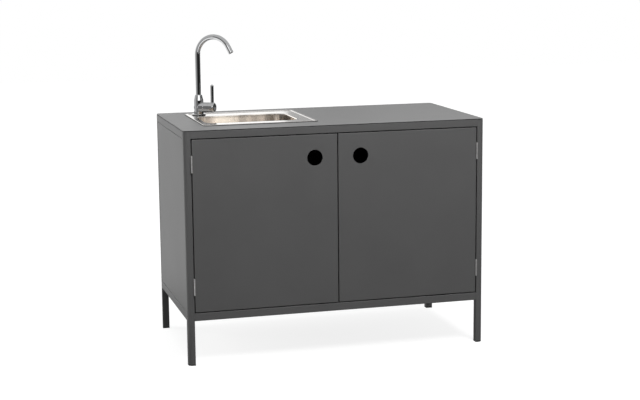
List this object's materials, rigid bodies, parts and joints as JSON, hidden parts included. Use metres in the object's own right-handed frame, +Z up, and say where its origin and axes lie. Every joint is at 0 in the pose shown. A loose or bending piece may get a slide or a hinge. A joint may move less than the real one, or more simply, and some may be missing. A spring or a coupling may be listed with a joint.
{
  "type": "outdoor sink cabinet",
  "caption": "Free-standing outdoor sink cabinet on square legs with inset doors, a thin worktop, a pressed steel sink and a gooseneck mixer tap.",
  "frame": {"origin": "centre of the cabinet's footprint, on the floor", "axes": "+Z up, +X to the right of someone who faces the doors, the doors face -Y"},
  "size_m": [1.19, 0.6262, 1.228],
  "materials": {
    "graphite_coat": "satin",
    "sink_steel": "satin",
    "tap_chrome": "polished",
    "hinge_zinc": "satin",
    "black_plastic": "matte",
    "black_rubber": "matte",
    "brass": "satin"
  },
  "bodies": {
    "cabinet": {"worktop": "graphite_coat", "post_front_left": "graphite_coat", "post_front_right": "graphite_coat", "post_rear_left": "graphite_coat", "post_rear_right": "graphite_coat", "rail_top_front": "graphite_coat", "rail_top_rear": "graphite_coat", "rail_top_left": "graphite_coat", "rail_top_right": "graphite_coat", "rail_bottom_front": "graphite_coat", "rail_bottom_rear": "graphite_coat", "rail_bottom_left": "graphite_coat", "rail_bottom_right": "graphite_coat", "worktop_brace": "graphite_coat", "side_panel_left": "graphite_coat", "side_panel_right": "graphite_coat", "back_panel": "graphite_coat", "floor_panel": "graphite_coat", "sink": "sink_steel", "sink_clips": "sink_steel", "drain_body": "sink_steel", "tap_base_ring": "tap_chrome", "tap_body": "tap_chrome", "hinge_frame_leaf_top_left": "hinge_zinc", "hinge_frame_leaf_top_right": "hinge_zinc", "hinge_frame_leaf_bottom_left": "hinge_zinc", "hinge_frame_leaf_bottom_right": "hinge_zinc", "hinge_screws_frame": "hinge_zinc", "hinge_pins": "hinge_zinc", "foot_caps": "black_plastic", "magnetic_catch": "black_plastic", "drain_nut": "black_plastic", "trap_inlet_pipe": "black_plastic", "trap_bottle": "black_plastic", "trap_outlet_pipe": "black_plastic", "trap_slip_nuts": "black_plastic", "cartridge_shell": "black_plastic", "worktop_tape": "black_rubber", "sink_gasket": "black_rubber", "drain_gasket": "black_rubber", "tap_base_gasket": "black_rubber", "tap_shank": "brass", "tap_backnut": "brass"},
    "door_left": {"door_left": "graphite_coat", "strike_plate_left": "hinge_zinc", "hinge_door_leaf_top_left": "hinge_zinc", "hinge_door_leaf_bottom_left": "hinge_zinc", "hinge_screws_door_left": "hinge_zinc"},
    "door_right": {"door_right": "graphite_coat", "strike_plate_right": "hinge_zinc", "hinge_door_leaf_top_right": "hinge_zinc", "hinge_door_leaf_bottom_right": "hinge_zinc", "hinge_screws_door_right": "hinge_zinc"},
    "spout": {"spout": "tap_chrome", "spout_nozzle": "tap_chrome"},
    "cartridge": {"cartridge_core": "brass"},
    "lever": {"lever_stem": "brass", "lever_hub": "tap_chrome", "lever_rod": "tap_chrome"},
    "basket": {"strainer_basket": "sink_steel"}
  },
  "joints": [
    {"name": "door_left_hinge", "type": "hinge", "parent": "cabinet", "child": "door_left", "pos_m": [-0.56625, -0.3099, 0.53625], "axis": [0, 0, -1], "range_deg": [0, 170]},
    {"name": "door_right_hinge", "type": "hinge", "parent": "cabinet", "child": "door_right", "pos_m": [0.56625, -0.3099, 0.53625], "axis": [0, 0, 1], "range_deg": [0, 170]},
    {"name": "spout_swivel", "type": "hinge", "parent": "cabinet", "child": "spout", "pos_m": [-0.443, 0.1781, 0.9845], "axis": [0, 0, 1], "continuous": true},
    {"name": "lever_turn", "type": "hinge", "parent": "cabinet", "child": "cartridge", "pos_m": [-0.42744, 0.1672, 0.934], "axis": [0.8192, -0.5736, 0], "range_deg": [-45, 45]},
    {"name": "lever_tip", "type": "hinge", "parent": "cartridge", "child": "lever", "pos_m": [-0.42744, 0.1672, 0.934], "axis": [0.5736, 0.8192, 0], "range_deg": [0, 12]},
    {"name": "basket_lift", "type": "slide", "parent": "cabinet", "child": "basket", "axis": [0, 0, 1], "range_m": [0, 0.15]}
  ]
}
